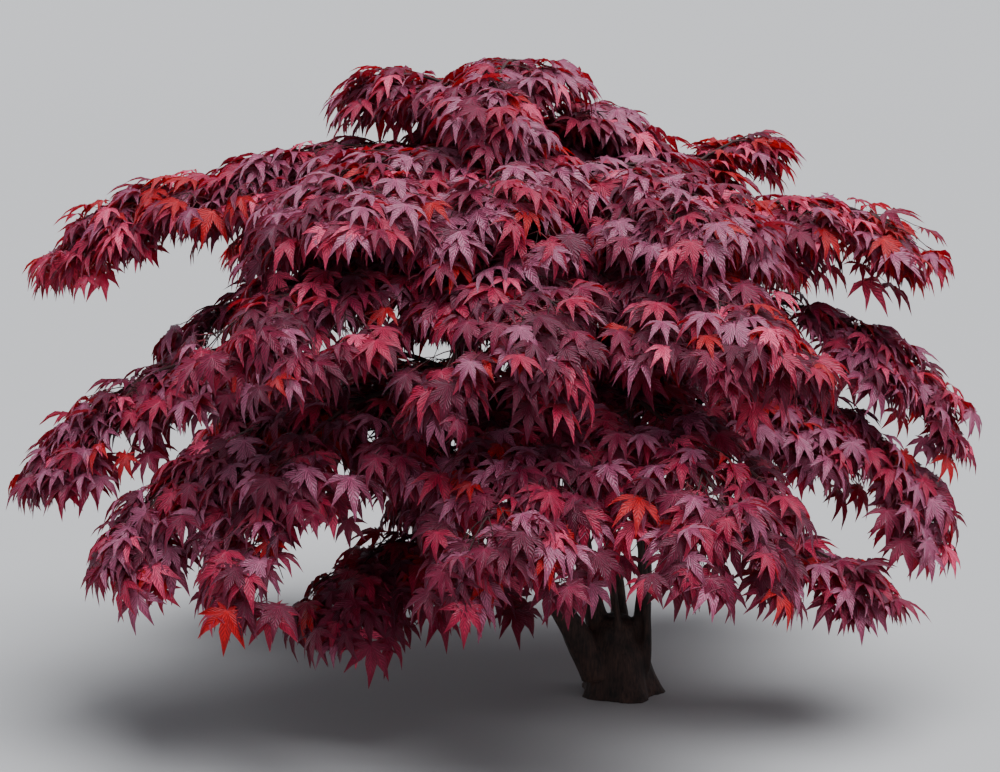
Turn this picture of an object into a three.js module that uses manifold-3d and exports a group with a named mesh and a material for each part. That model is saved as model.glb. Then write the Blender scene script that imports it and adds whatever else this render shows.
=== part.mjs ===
// A Japanese maple with a low spreading crown, rooted in level ground.
//
// Sizes are millimetres and angles degrees. +Z is up. The origin is the middle of the flat cut under the
// trunk. +Y runs away from the front of the tree, so the front faces -Y and +X lies to its right.
// A bearing is a direction seen from above: 0 is right, 90 is back, 180 is left and 270 is the front.
import * as THREE from 'three';
import { mergeVertices } from 'three/addons/utils/BufferGeometryUtils.js';
import Module from 'manifold-3d';

const wasm = await Module();
wasm.setup();

// Clear space between two pieces that meet, and between foliage and what it must not touch.
const JOINT_GAP = 0.3;
const LEAF_CLEARANCE = 1.5;

// The trunk: a short leaning bole that flares into the ground and forks low down.
const TRUNK_HEIGHT = 120;
const TRUNK_FOOT_RADIUS = 80;
const TRUNK_WAIST_RADIUS = 61;
const FLARE_HEIGHT = 42;
const TRUNK_LEAN = 12;
const TRUNK_SHOULDER = 0.62;
const TRUNK_TOP_SHARE = 0.78;
const TRUNK_SIDES = 18;
const TRUNK_RINGS = 7;
const BUTTRESSES = 5;
const BUTTRESS_DEPTH = 0.12;

// Stems and boughs.
const STEM_SIDES = 7;
const STEM_RINGS = 6;
const STEM_TIP_RADIUS = 5.5;
const STEM_SINK = 70;
const BOUGH_SIDES = 5;
const BOUGH_RINGS = 4;
const BOUGH_BASE_SHARE = 0.66;
const BOUGH_TIP_RADIUS = 5;
const BOUGH_FORK_ANGLE = 45;
const SET_OFF_HANDLE = 0.36;
const ARRIVAL_HANDLE = 0.26;

// The twigs of a spray: one shoot, and pairs of side shoots at even steps along it.
const TWIG_SIDES = 3;
const SHOOT_RADIUS = 5;
const SHOOT_TIP_RADIUS = 3;
const SHOOT_RINGS = 3;
const SIDE_RADIUS = 2;
const SIDE_TIP_RADIUS = 1.7;
const SIDE_RINGS = 1;
const PAIR_STEP = 160;
const FIRST_PAIR = 0.12;
const LAST_PAIR = 0.8;
const FEWEST_PAIRS = 2;
const PAIR_OFFSET = 0.3;
const WIDEST_AT = 0.42;
const WIDTH_FALLS_OVER = 0.72;
const SIDE_ANGLE_AT_FOOT = 70;
const SIDE_ANGLE_AT_TIP = 38;
const SIDE_ANGLE_SPREAD = 12;
const SIDE_PITCH_SHARE = 0.7;
const SIDE_RISE = 2.4;
const SIDE_RISE_SPREAD = 16;
const SIDE_DROOP = 40;
const SIDE_DROOP_SPREAD = 20;
const SIDE_LENGTH_SPREAD = 0.25;

// Leaves: five pointed lobes on a short stalk, larger than life because the solid crown has few of them.
const LEAF_REACH = 116;
const LEAF_STALK = 38;
const LEAF_TOP = 7;
const LEAF_UNDERSIDE = 3.5;
const LEAF_TIP_DROOP = 16;
// Half of the outline, from the stalk round to the middle lobe: degrees from that lobe, share of the reach.
const LEAF_OUTLINE = [
  [150, 0.1],
  [106, 0.6],
  [77, 0.27],
  [51, 0.9],
  [26, 0.35],
  [0, 1],
];

// How leaves sit: one at a twig's end and, on a long twig, an opposite pair in its middle.
const LAST_LEAF = 0.92;
const MIDDLE_LEAVES = 0.5;
const LONG_TWIG = 150;
const SIDE_LEAF_TURN = 55;
const LEAF_TURN_SPREAD = 24;
const LEAF_PITCH_SHARE = 0.5;
const LEAF_FALL = 22;
const LEAF_FALL_SPREAD = 24;
const LEAF_ROLL_SPREAD = 36;
const LEAF_SCALE_SPREAD = 0.2;
const LEAF_TRIES = 8;

// The crown leans to the left of the trunk, and the sprays are placed around this axis.
const CROWN_AXIS_X = -190;

// The stems rise from `foot` on the trunk, `lean` degrees from upright towards `bearing`.
const STEMS = [
  { name: 'stem_left', foot: [-26, -4], bearing: 172, lean: 15, radius: 19 },
  { name: 'stem_right', foot: [26, -6], bearing: 8, lean: 13, radius: 15 },
  { name: 'stem_back', foot: [8, 36], bearing: 100, lean: 20, radius: 15 },
  { name: 'stem_low_left', foot: [-46, -22], bearing: 200, lean: 30, radius: 23 },
  { name: 'stem_thin', foot: [0, -30], bearing: 240, lean: 4, radius: 5.6 },
  { name: 'stem_thin_right', foot: [46, -26], bearing: 340, lean: 8, radius: 7.5 },
];

// Each spray grows on `stem`: from its tip where `at` is 1, or else from a bough of its own that leaves the
// stem at that share of its length. It starts `out` from the crown's axis towards `bearing`, at `height`.
// Its shoot sets off `turn` degrees round from that bearing, climbing at `rise`, and has bent down by
// `droop` at the end of `length`. Its side shoots reach `width` to each side.
const SPRAYS = [
  // name, stem, at, bearing, out, height, turn, rise, droop, length, width
  ['top_front', 'stem_left', 1, 104, 64, 1249, 154, 14, 62, 320, 92],
  ['top_left', 'stem_left', 0.8, 157, 124, 1191, 14, 30, 34, 175, 130],
  ['top_right', 'stem_left', 0.74, 42, 115, 1146, -46, 28, 90, 157, 130],
  ['top_back', 'stem_back', 1, 77, 200, 1085, 11, 18, 75, 325, 170],
  ['upper_left_far', 'stem_left', 0.56, 180, 530, 1021, 0, 18, 72, 385, 150],
  ['upper_left', 'stem_left', 0.66, 185, 230, 1083, -2, 14, 41, 350, 165],
  ['upper_front_left', 'stem_left', 0.7, 215, 210, 1095, 21, 6, 38, 375, 180],
  ['upper_front', 'stem_left', 0.77, 256, 125, 1085, 6, 6, 38, 315, 170],
  ['upper_right', 'stem_right', 0.78, 328, 155, 1062, -27, 8, 38, 360, 180],
  ['upper_right_far', 'stem_right', 0.72, 0, 435, 982, 0, 8, 34, 315, 155],
  ['upper_right_spike', 'stem_right', 1, 22, 315, 1018, 3, 36, 20, 200, 75],
  ['upper_back_left', 'stem_back', 0.66, 134, 275, 1000, 3, 8, 45, 410, 210],
  ['upper_back_right', 'stem_back', 0.6, 52, 280, 985, -12, 8, 43, 390, 210],
  ['middle_left', 'stem_left', 0.5, 183, 300, 850, 2, 4, 46, 375, 170],
  ['middle_front_left', 'stem_left', 0.58, 229, 320, 930, -2, 2, 33, 400, 190],
  ['middle_front', 'stem_thin', 1, 262, 220, 930, 3, 6, 50, 405, 190],
  ['middle_front_right', 'stem_thin_right', 1, 306, 270, 920, 0, 4, 42, 410, 190],
  ['middle_right', 'stem_right', 0.55, 357, 370, 792, 1, 9, 70, 515, 165],
  ['middle_back', 'stem_back', 0.5, 88, 360, 850, 2, 4, 41, 320, 250],
  ['lower_left_far', 'stem_low_left', 0.62, 189, 527, 700, 4, 6, 66, 472, 150],
  ['lower_left', 'stem_low_left', 1, 210, 475, 612, -4, -2, 56, 425, 185],
  ['lower_front_left', 'stem_low_left', 0.55, 231, 410, 672, -6, -2, 68, 415, 190],
  ['lower_front', 'stem_thin', 0.5, 265, 360, 662, 5, -4, 52, 365, 190],
  ['lower_front_right', 'stem_thin_right', 0.5, 297, 380, 672, -1, -3, 42, 405, 190],
  ['lower_right', 'stem_right', 0.3, 334, 450, 381, 5, -2, 34, 290, 60],
  ['lower_right_far', 'stem_right', 0.45, 352, 475, 625, -2, -4, 56, 340, 165],
  ['skirt_left', 'stem_low_left', 0.3, 226, 260, 380, -14, -3, 40, 265, 135],
  ['lower_back_left', 'stem_back', 0.34, 134, 445, 640, 7, -2, 36, 415, 230],
  ['lower_back_right', 'stem_back', 0.42, 48, 430, 650, -10, -2, 39, 390, 230],
].map(([name, stem, at, bearing, out, height, turn, rise, droop, length, width]) => {
  return { name, stem, at, bearing, out, height, turn, rise, droop, length, width };
});

const BARK = new THREE.MeshStandardMaterial({ color: 0x3d2c29, roughness: 0.9, metalness: 0 });
const LEAF_COLOURS = [0x5a2230, 0x48172a, 0x7a2c3c];
const LEAF_ROUGHNESS = 0.55;
const UP = new THREE.Vector3(0, 0, 1);
const radians = THREE.MathUtils.degToRad;
const { lerp } = THREE.MathUtils;

// A repeatable stream of numbers from 0 to 1.
function seeded(seed) {
  let state = seed;
  return () => {
    state = (Math.imul(state, 1664525) + 1013904223) >>> 0;
    return state / 2 ** 32;
  };
}

// The next number of a stream, spread evenly about zero over `spread` in all.
function about(random, spread) {
  return spread * (random() - 0.5);
}

// The unit vector that points towards `bearing`, `pitch` degrees above level.
function aim(bearing, pitch) {
  const [b, p] = [radians(bearing), radians(pitch)];
  return new THREE.Vector3(Math.cos(b) * Math.cos(p), Math.sin(b) * Math.cos(p), Math.sin(p));
}

// A twig's line: it sets off at `rise` and bends evenly down, by `droop` in all, in straight steps.
class Arch extends THREE.Curve {
  constructor(start, bearing, rise, droop, length, rings) {
    super();
    Object.assign(this, { start, bearing, rise, droop, length, rings });
  }

  pitchAt(t) {
    return this.rise - this.droop * t;
  }

  bendAt(ring) {
    const [rise, pitch] = [radians(this.rise), radians(this.pitchAt(ring / this.rings))];
    const radius = this.length / radians(this.droop);
    return this.start
      .clone()
      .addScaledVector(aim(this.bearing, 0), radius * (Math.sin(rise) - Math.sin(pitch)))
      .addScaledVector(UP, radius * (Math.cos(pitch) - Math.cos(rise)));
  }

  getPoint(t, target = new THREE.Vector3()) {
    const step = Math.min(this.rings - 1, Math.floor(t * this.rings));
    return target.lerpVectors(this.bendAt(step), this.bendAt(step + 1), t * this.rings - step);
  }

  // The twig's section keeps one edge on top all along.
  computeFrenetFrames(rings) {
    const tangents = Array.from({ length: rings + 1 }, (_, ring) => this.getTangentAt(ring / rings));
    const normals = tangents.map(() => aim(this.bearing - 90, 0));
    const binormals = tangents.map((t, ring) => new THREE.Vector3().crossVectors(t, normals[ring]));
    return { tangents, normals, binormals };
  }
}

// Drops all but the positions and merges them, so that the geometry is one closed surface.
function closed(geometry) {
  geometry.deleteAttribute('normal');
  geometry.deleteAttribute('uv');
  return mergeVertices(geometry);
}

// A tapering limb or twig with flat ends along a curve.
function limbGeometry(curve, footRadius, tipRadius, sides, rings) {
  const geometry = new THREE.CylinderGeometry(1, 1, 1, sides, rings);
  const frames = curve.computeFrenetFrames(rings);
  const position = geometry.getAttribute('position');
  for (let i = 0; i < position.count; i++) {
    const [x, y, z] = [position.getX(i), position.getY(i), position.getZ(i)];
    const ring = Math.round((y + 0.5) * rings);
    const radius = lerp(footRadius, tipRadius, ring / rings);
    const point = curve
      .getPointAt(ring / rings)
      .addScaledVector(frames.normals[ring], radius * x)
      .addScaledVector(frames.binormals[ring], -radius * z);
    position.setXYZ(i, point.x, point.y, point.z);
  }
  return closed(geometry);
}

// The trunk, `grow` larger all over than it is where a limb is to be cut clear of it.
function trunkGeometry(grow = 0) {
  const geometry = new THREE.CylinderGeometry(1, 1, 1, TRUNK_SIDES, TRUNK_RINGS);
  const position = geometry.getAttribute('position');
  for (let i = 0; i < position.count; i++) {
    const [x, share, y] = [position.getX(i), position.getY(i) + 0.5, position.getZ(i)];
    const height = TRUNK_HEIGHT * share;
    const flare = Math.exp(-height / FLARE_HEIGHT);
    const ribs = 1 + BUTTRESS_DEPTH * flare * Math.cos(BUTTRESSES * Math.atan2(y, x));
    const above = Math.max(0, (share - TRUNK_SHOULDER) / (1 - TRUNK_SHOULDER));
    const rounding = 1 - (1 - TRUNK_TOP_SHARE) * above * above;
    const radius = lerp(TRUNK_WAIST_RADIUS, TRUNK_FOOT_RADIUS, flare) * ribs * rounding + grow;
    const top = share === 1 ? grow : 0;
    position.setXYZ(i, radius * x - TRUNK_LEAN * share, -radius * y, height + top);
  }
  return closed(geometry);
}

// The closed blade of one leaf, its stalk's foot at the origin, its middle lobe along +X and its top up.
function leafGeometry() {
  const outline = [[180, LEAF_STALK / LEAF_REACH], ...LEAF_OUTLINE];
  const half = outline.length - 1;
  const geometry = new THREE.SphereGeometry(1, 2 * half, 2);
  const position = geometry.getAttribute('position');
  for (let i = 0; i < position.count; i++) {
    const [x, y, z] = [position.getX(i), position.getY(i), position.getZ(i)];
    const isPole = Math.abs(y) > 0.5;
    if (isPole) {
      position.setXYZ(i, LEAF_STALK, 0, y > 0 ? LEAF_TOP : LEAF_UNDERSIDE);
      continue;
    }
    const step = Math.round((Math.atan2(-z, -x) / Math.PI) * half);
    const [turn, share] = outline[Math.abs(step)];
    const side = radians(turn) * (step < 0 ? -1 : 1);
    const reach = share * LEAF_REACH;
    const drop = step === 0 ? 0 : LEAF_TIP_DROOP * share * share;
    position.setXYZ(i, LEAF_STALK + Math.cos(side) * reach, Math.sin(side) * reach, -drop);
  }
  return closed(geometry);
}

// A closed geometry as a solid that can be cut and joined, and back again.
function solidOf(geometry) {
  return new wasm.Manifold(
    new wasm.Mesh({
      numProp: 3,
      vertProperties: new Float32Array(geometry.getAttribute('position').array),
      triVerts: new Uint32Array(geometry.index.array),
    }),
  );
}

function geometryOf(solid) {
  const mesh = solid.getMesh();
  return new THREE.BufferGeometry()
    .setAttribute('position', new THREE.BufferAttribute(mesh.vertProperties, 3))
    .setIndex(new THREE.BufferAttribute(mesh.triVerts, 1));
}

// The largest body of a solid: what a cut has left loose is dropped.
function largest(solid) {
  return solid.decompose().reduce((a, b) => (b.volume() > a.volume() ? b : a));
}

function boxesMeet(a, b, margin) {
  return [0, 1, 2].every((k) => a.min[k] - margin < b.max[k] && b.min[k] - margin < a.max[k]);
}

// True if a solid keeps `clearance` to every one of the others.
function isClear(solid, others, clearance) {
  const box = solid.boundingBox();
  const near = others.filter((other) => boxesMeet(box, other.boundingBox(), clearance));
  return near.every((other) => solid.minGap(other, clearance) >= clearance);
}

// The line of a spray's shoot.
function shootOf(spray) {
  const start = aim(spray.bearing, 0).multiplyScalar(spray.out);
  start.add(new THREE.Vector3(CROWN_AXIS_X, 0, spray.height));
  const { bearing, turn, rise, droop, length } = spray;
  return new Arch(start, bearing + turn, rise, droop, length, SHOOT_RINGS);
}

function shootSolid(spray) {
  return solidOf(limbGeometry(shootOf(spray), SHOOT_RADIUS, SHOOT_TIP_RADIUS, TWIG_SIDES, SHOOT_RINGS));
}

// A smooth limb that ends just short of a spray's shoot, in line with it.
function limbCurve(foot, setOff, spray) {
  const shoot = shootOf(spray);
  const arrive = shoot.getTangentAt(0);
  const tip = shoot.start.clone().addScaledVector(arrive, -JOINT_GAP);
  const span = foot.distanceTo(tip);
  return new THREE.CubicBezierCurve3(
    foot,
    foot.clone().addScaledVector(setOff, SET_OFF_HANDLE * span),
    tip.clone().addScaledVector(arrive, -ARRIVAL_HANDLE * span),
    tip,
  );
}

// A stem stands in the trunk's top.
function stemCurve(stem) {
  const foot = new THREE.Vector3(...stem.foot, TRUNK_HEIGHT - STEM_SINK);
  const spray = SPRAYS.find((each) => each.stem === stem.name && each.at === 1);
  return limbCurve(foot, aim(stem.bearing, 90 - stem.lean), spray);
}

// A bough leaves its stem at a fork angle, towards its spray.
function boughCurve(stem, spray) {
  const foot = stem.curve.getPointAt(spray.at);
  const along = stem.curve.getTangentAt(spray.at);
  const outward = shootOf(spray).start.sub(foot).normalize();
  const across = new THREE.Vector3().crossVectors(along, outward).normalize();
  return limbCurve(foot, along.applyAxisAngle(across, radians(BOUGH_FORK_ANGLE)), spray);
}

// How far the side shoots reach at the share t of a spray's shoot, as a share of its width.
function spreadAt(t) {
  return Math.sqrt(Math.max(0, 1 - ((t - WIDEST_AT) / WIDTH_FALLS_OVER) ** 2));
}

// The side shoots of a spray, in pairs along its shoot, with seeded differences.
function sideShoots(spray, shoot, random) {
  const sides = [];
  const pairRoom = (LAST_PAIR - FIRST_PAIR) * spray.length;
  const pairs = Math.max(FEWEST_PAIRS, Math.round(pairRoom / PAIR_STEP) + 1);
  for (let pair = 0; pair < pairs; pair++) {
    for (const side of [-1, 1]) {
      const step = (pair + PAIR_OFFSET * random()) / (pairs - 1 + PAIR_OFFSET);
      const t = lerp(FIRST_PAIR, LAST_PAIR, step);
      const turn = lerp(SIDE_ANGLE_AT_FOOT, SIDE_ANGLE_AT_TIP, t) + about(random, SIDE_ANGLE_SPREAD);
      const rise = shoot.pitchAt(t) * SIDE_PITCH_SHARE + SIDE_RISE + about(random, SIDE_RISE_SPREAD);
      const droop = SIDE_DROOP + about(random, SIDE_DROOP_SPREAD);
      const length = spray.width * spreadAt(t) * (1 + about(random, SIDE_LENGTH_SPREAD));
      sides.push(new Arch(shoot.getPoint(t), shoot.bearing + side * turn, rise, droop, length, SIDE_RINGS));
    }
  }
  return sides;
}

const LEAF = leafGeometry();

// Sets a leaf on a twig at the share t, pointing out from the twig, down, and `turn` to its side.
function placeLeaf(twig, t, turn, random) {
  const scale = 1 + about(random, LEAF_SCALE_SPREAD);
  const pitch = twig.pitchAt(t) * LEAF_PITCH_SHARE - LEAF_FALL + about(random, LEAF_FALL_SPREAD);
  const axis = aim(twig.bearing + turn + about(random, LEAF_TURN_SPREAD), pitch);
  const roll = radians(about(random, LEAF_ROLL_SPREAD));
  const up = UP.clone().addScaledVector(axis, -axis.z).normalize().applyAxisAngle(axis, roll);
  const side = new THREE.Vector3().crossVectors(up, axis);
  const placed = new THREE.Matrix4().makeBasis(axis, side, up);
  placed.scale(new THREE.Vector3(scale, scale, scale)).setPosition(twig.getPoint(t));
  return solidOf(LEAF.clone().applyMatrix4(placed));
}

// One spray of foliage as a solid: its shoot, its side shoots, and the leaves that are clear of `others`,
// of each other and of every twig but their own.
function spraySolid(spray, seed, others) {
  const random = seeded(seed);
  const shoot = shootOf(spray);
  const twigs = [shootSolid(spray)];
  const places = [{ twig: shoot, own: twigs[0], t: LAST_LEAF, turn: 0 }];
  for (const twig of sideShoots(spray, shoot, random)) {
    const own = solidOf(limbGeometry(twig, SIDE_RADIUS, SIDE_TIP_RADIUS, TWIG_SIDES, SIDE_RINGS));
    if (!isClear(own, others, LEAF_CLEARANCE)) continue;
    twigs.push(own);
    places.push({ twig, own, t: LAST_LEAF, turn: 0 });
    if (twig.length > LONG_TWIG) {
      for (const side of [-1, 1]) places.push({ twig, own, t: MIDDLE_LEAVES, turn: side * SIDE_LEAF_TURN });
    }
  }
  const leaves = [];
  for (const { twig, own, t, turn } of places) {
    const near = [...leaves, ...twigs.filter((other) => other !== own)];
    for (let attempt = 0; attempt < LEAF_TRIES; attempt++) {
      const blade = placeLeaf(twig, t, turn, random);
      if (!isClear(blade, others, LEAF_CLEARANCE) || !isClear(blade, near, JOINT_GAP)) continue;
      leaves.push(blade);
      break;
    }
  }
  return largest([...twigs, ...leaves].reduce((whole, piece) => whole.add(piece)));
}

function meshOf(name, solid, material) {
  const mesh = new THREE.Mesh(geometryOf(solid), material);
  mesh.name = name;
  return mesh;
}

const tree = new THREE.Group();

// The trunk, and the limbs in their order, each cut clear of those before it.
const trunk = solidOf(trunkGeometry());
tree.add(meshOf('trunk', trunk, BARK));
const limbs = [trunk];
const clearOf = [solidOf(trunkGeometry(JOINT_GAP))];

function addLimb(name, curve, footRadius, tipRadius, sides, rings) {
  const whole = solidOf(limbGeometry(curve, footRadius, tipRadius, sides, rings));
  const limb = largest(clearOf.reduce((rest, other) => rest.subtract(other), whole));
  limbs.push(limb);
  const [footClear, tipClear] = [footRadius + JOINT_GAP, tipRadius + JOINT_GAP];
  clearOf.push(solidOf(limbGeometry(curve, footClear, tipClear, sides, rings)));
  tree.add(meshOf(name, limb, BARK));
}

const stems = {};
for (const stem of STEMS) {
  const curve = stemCurve(stem);
  stems[stem.name] = { ...stem, curve };
  addLimb(stem.name, curve, stem.radius, STEM_TIP_RADIUS, STEM_SIDES, STEM_RINGS);
}

for (const spray of SPRAYS.filter((each) => each.at < 1)) {
  const stem = stems[spray.stem];
  const footRadius = BOUGH_BASE_SHARE * lerp(stem.radius, STEM_TIP_RADIUS, spray.at);
  const curve = boughCurve(stem, spray);
  addLimb(`bough_${spray.name}`, curve, footRadius, BOUGH_TIP_RADIUS, BOUGH_SIDES, BOUGH_RINGS);
}

// The foliage: each spray is clear of the limbs, of the shoots to come and of the sprays before it.
const foliage = SPRAYS.map(shootSolid);
SPRAYS.forEach((spray, index) => {
  const others = [...limbs, ...foliage.filter((_, place) => place !== index)];
  foliage[index] = spraySolid(spray, index + 1, others);
  const color = LEAF_COLOURS[index % LEAF_COLOURS.length];
  const material = new THREE.MeshStandardMaterial({ color, roughness: LEAF_ROUGHNESS, metalness: 0 });
  tree.add(meshOf(`foliage_${spray.name}`, foliage[index], material));
});

export default tree;
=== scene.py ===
import math

import bmesh
import bpy
import numpy as np
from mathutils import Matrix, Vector, noise


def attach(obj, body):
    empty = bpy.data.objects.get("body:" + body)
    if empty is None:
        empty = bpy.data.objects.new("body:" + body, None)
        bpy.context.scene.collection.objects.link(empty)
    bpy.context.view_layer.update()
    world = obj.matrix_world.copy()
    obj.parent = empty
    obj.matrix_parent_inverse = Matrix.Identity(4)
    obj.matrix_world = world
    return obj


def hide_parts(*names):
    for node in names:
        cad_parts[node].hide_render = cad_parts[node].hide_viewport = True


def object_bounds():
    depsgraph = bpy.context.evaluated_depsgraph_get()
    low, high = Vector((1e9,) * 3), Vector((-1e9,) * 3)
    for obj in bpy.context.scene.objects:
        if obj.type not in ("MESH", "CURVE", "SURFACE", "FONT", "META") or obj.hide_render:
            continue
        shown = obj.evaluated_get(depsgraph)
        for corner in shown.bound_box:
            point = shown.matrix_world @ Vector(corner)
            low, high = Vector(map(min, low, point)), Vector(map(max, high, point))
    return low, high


# A Japanese maple with dark red leaves in drooping tiers, on a pale floor under soft light.
# Sizes in the tables are millimetres and angles degrees, and MM turns them into metres. +Z is up.
# A bearing is a direction seen from above: 0 is right, 90 is back, 180 is left and 270 is the front.
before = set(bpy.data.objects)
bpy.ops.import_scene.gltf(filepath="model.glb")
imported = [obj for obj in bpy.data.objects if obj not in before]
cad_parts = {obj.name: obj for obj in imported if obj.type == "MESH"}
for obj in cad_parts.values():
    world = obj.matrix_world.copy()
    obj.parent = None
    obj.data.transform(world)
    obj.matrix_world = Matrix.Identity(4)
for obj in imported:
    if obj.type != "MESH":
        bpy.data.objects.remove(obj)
solid_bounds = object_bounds()
MM = 0.001

# The camera, where the photographer stood, and the picture's size in pixels.
CAMERA_PLACE = (-0.243, -4.2, 1.38)
CAMERA_PITCH = 10.2
FOCAL_PIXELS = 2170
PICTURE = (1000, 772)
SENSOR_WIDTH = 36

# The trunk, stems and boughs.
TRUNK_HEIGHT = 120
TRUNK_BELOW = 12
TRUNK_FOOT_RADIUS = 80
TRUNK_WAIST_RADIUS = 61
FLARE_HEIGHT = 42
TRUNK_LEAN = 12
TRUNK_SHOULDER = 0.62
TRUNK_TOP_SHARE = 0.78
TRUNK_DOME = 42
TRUNK_SIDES = 96
TRUNK_RINGS = 40
DOME_RINGS = 8
BUTTRESSES = 5
BUTTRESS_DEPTH = 0.12
STEM_TIP_RADIUS = 5.5
STEM_SINK = 70
BOUGH_BASE_SHARE = 0.66
BOUGH_TIP_RADIUS = 5
BOUGH_FORK_ANGLE = 45
SET_OFF_HANDLE = 0.36
ARRIVAL_HANDLE = 0.26
CROWN_AXIS_X = -190
LIMB_STEPS = 200
TANGENT_REACH = 0.01

# A line is nearly upright where its level part is under the first, or a unit vector's rise over the second.
# There the direction that counts as up is another.
NEARLY_UPRIGHT = 0.1
UPRIGHT_AXIS = 0.985
UP = (0, 0, 1)
UP_FOR_UPRIGHT = (1, 0, 0.2)

# How the wood swells at a limb's foot, in share of its radius, and over which length that fades.
STEM_SWELL = 0.85
STEM_SWELL_FADES = 85
BOUGH_SWELL = 0.6
BOUGH_SWELL_FADES = 14

# How finely the wood is drawn: points this far apart along a limb, and the sides of its ring.
STEM_STEP = 8
STEM_SIDES = 20
BOUGH_STEP = 6
BOUGH_SIDES = 9
FEWEST_BOUGH_POINTS = 12
SKIN_VOXEL = 4
SKIN_SOFTENING = 2

# The bark's relief in millimetres, high up and at the ground, and its grain across and along the limb.
# It deepens below a height in metres. A bough's relief is noise, read at one place for each direction.
RIDGE_HEIGHT = (0.6, 2.6)
KNOT_HEIGHT = (0.8, 4.8)
RIDGE_GRAIN = (95, 11)
KNOT_GRAIN = (26, 16)
ROUGH_BELOW = 0.3
BOUGH_RELIEF = 1.3
BOUGH_GRAIN = 0.03
NOISE_PLACES = ((0, 0, 0), (31.7, 0, 0), (0, 47.3, 0))

# The side shoots of a spray, in pairs along its shoot.
PAIR_STEP = 160
FIRST_PAIR = 0.12
LAST_PAIR = 0.8
FEWEST_PAIRS = 2
PAIR_OFFSET = 0.3
WIDEST_AT = 0.42
WIDTH_FALLS_OVER = 0.72
SIDE_ANGLE_AT_FOOT = 70
SIDE_ANGLE_AT_TIP = 38
SIDE_ANGLE_SPREAD = 12
SIDE_PITCH_SHARE = 0.7
SIDE_RISE = 2.4
SIDE_RISE_SPREAD = 16
SIDE_DROOP = 40
SIDE_DROOP_SPREAD = 20
SIDE_LENGTH_SPREAD = 0.25

STEMS = [
    # name, foot, bearing, lean from upright, radius
    ("stem_left", (-26, -4), 172, 15, 19),
    ("stem_right", (26, -6), 8, 13, 15),
    ("stem_back", (8, 36), 100, 20, 15),
    ("stem_low_left", (-46, -22), 200, 30, 23),
    ("stem_thin", (0, -30), 240, 4, 5.6),
    ("stem_thin_right", (46, -26), 340, 8, 7.5),
]
SPRAYS = [
    # name, stem, at, bearing, out, height, turn, rise, droop, length, width
    ("top_front", "stem_left", 1, 104, 64, 1249, 154, 14, 62, 320, 92),
    ("top_left", "stem_left", 0.8, 157, 124, 1191, 14, 30, 34, 175, 130),
    ("top_right", "stem_left", 0.74, 42, 115, 1146, -46, 28, 90, 157, 130),
    ("top_back", "stem_back", 1, 77, 200, 1085, 11, 18, 75, 325, 170),
    ("upper_left_far", "stem_left", 0.56, 180, 530, 1021, 0, 18, 72, 385, 150),
    ("upper_left", "stem_left", 0.66, 185, 230, 1083, -2, 14, 41, 350, 165),
    ("upper_front_left", "stem_left", 0.7, 215, 210, 1095, 21, 6, 38, 375, 180),
    ("upper_front", "stem_left", 0.77, 256, 125, 1085, 6, 6, 38, 315, 170),
    ("upper_right", "stem_right", 0.78, 328, 155, 1062, -27, 8, 38, 360, 180),
    ("upper_right_far", "stem_right", 0.72, 0, 435, 982, 0, 8, 34, 315, 155),
    ("upper_right_spike", "stem_right", 1, 22, 315, 1018, 3, 36, 20, 200, 75),
    ("upper_back_left", "stem_back", 0.66, 134, 275, 1000, 3, 8, 45, 410, 210),
    ("upper_back_right", "stem_back", 0.6, 52, 280, 985, -12, 8, 43, 390, 210),
    ("middle_left", "stem_left", 0.5, 183, 300, 850, 2, 4, 46, 375, 170),
    ("middle_front_left", "stem_left", 0.58, 229, 320, 930, -2, 2, 33, 400, 190),
    ("middle_front", "stem_thin", 1, 262, 220, 930, 3, 6, 50, 405, 190),
    ("middle_front_right", "stem_thin_right", 1, 306, 270, 920, 0, 4, 42, 410, 190),
    ("middle_right", "stem_right", 0.55, 357, 370, 792, 1, 9, 70, 515, 165),
    ("middle_back", "stem_back", 0.5, 88, 360, 850, 2, 4, 41, 320, 250),
    ("lower_left_far", "stem_low_left", 0.62, 189, 527, 700, 4, 6, 66, 472, 150),
    ("lower_left", "stem_low_left", 1, 210, 475, 612, -4, -2, 56, 425, 185),
    ("lower_front_left", "stem_low_left", 0.55, 231, 410, 672, -6, -2, 68, 415, 190),
    ("lower_front", "stem_thin", 0.5, 265, 360, 662, 5, -4, 52, 365, 190),
    ("lower_front_right", "stem_thin_right", 0.5, 297, 380, 672, -1, -3, 42, 405, 190),
    ("lower_right", "stem_right", 0.3, 334, 450, 381, 5, -2, 34, 290, 60),
    ("lower_right_far", "stem_right", 0.45, 352, 475, 625, -2, -4, 56, 340, 165),
    ("skirt_left", "stem_low_left", 0.3, 226, 260, 380, -14, -3, 40, 265, 135),
    ("lower_back_left", "stem_back", 0.34, 134, 445, 640, 7, -2, 36, 415, 230),
    ("lower_back_right", "stem_back", 0.42, 48, 430, 650, -10, -2, 39, 390, 230),
]
SPRAY_FIELDS = ("name", "stem", "at", "bearing", "out", "height", "turn", "rise", "droop", "length", "width")
SPRAYS = [dict(zip(SPRAY_FIELDS, row)) for row in SPRAYS]

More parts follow.
